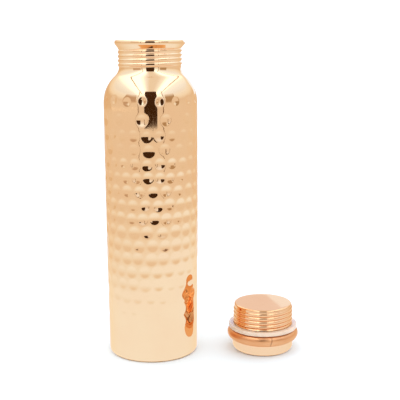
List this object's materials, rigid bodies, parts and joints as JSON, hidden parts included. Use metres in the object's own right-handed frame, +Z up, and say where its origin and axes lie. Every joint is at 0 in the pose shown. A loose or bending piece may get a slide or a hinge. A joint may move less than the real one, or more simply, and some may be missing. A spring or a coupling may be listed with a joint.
{
  "type": "copper water bottle",
  "caption": "Hammered copper water bottle with threaded neck and rolled lip; its screw cap with silicone gasket stands upside down beside it.",
  "frame": {"origin": "centre of the bottle's flat base", "axes": "+Z up along the bottle's axis, +X from the bottle towards the cap that stands beside it, -Y towards the viewer"},
  "size_m": [0.1558, 0.0736, 0.25],
  "materials": {
    "body_copper": "polished, hammered",
    "drum_copper": "polished",
    "plug_copper": "polished",
    "ring_copper": "satin, slightly uneven",
    "silicone": "matt, slightly translucent"
  },
  "bodies": {
    "bottle": {"bottle_body": "body_copper"},
    "seal": {"gasket": "silicone"},
    "cap": {"cap_drum": "drum_copper", "cap_plug": "plug_copper", "clamp_ring": "ring_copper"}
  },
  "joints": [
    {"name": "cap_carry", "type": "hinge", "parent": "bottle", "child": "seal", "pos_m": [0.045, 0, 0.1457], "axis": [0, -1, 0], "range_deg": [0, 180]},
    {"name": "cap_turn", "type": "hinge", "parent": "seal", "child": "cap", "pos_m": [0.09, 0, 0.0136], "axis": [0, 0, 1], "continuous": true}
  ]
}
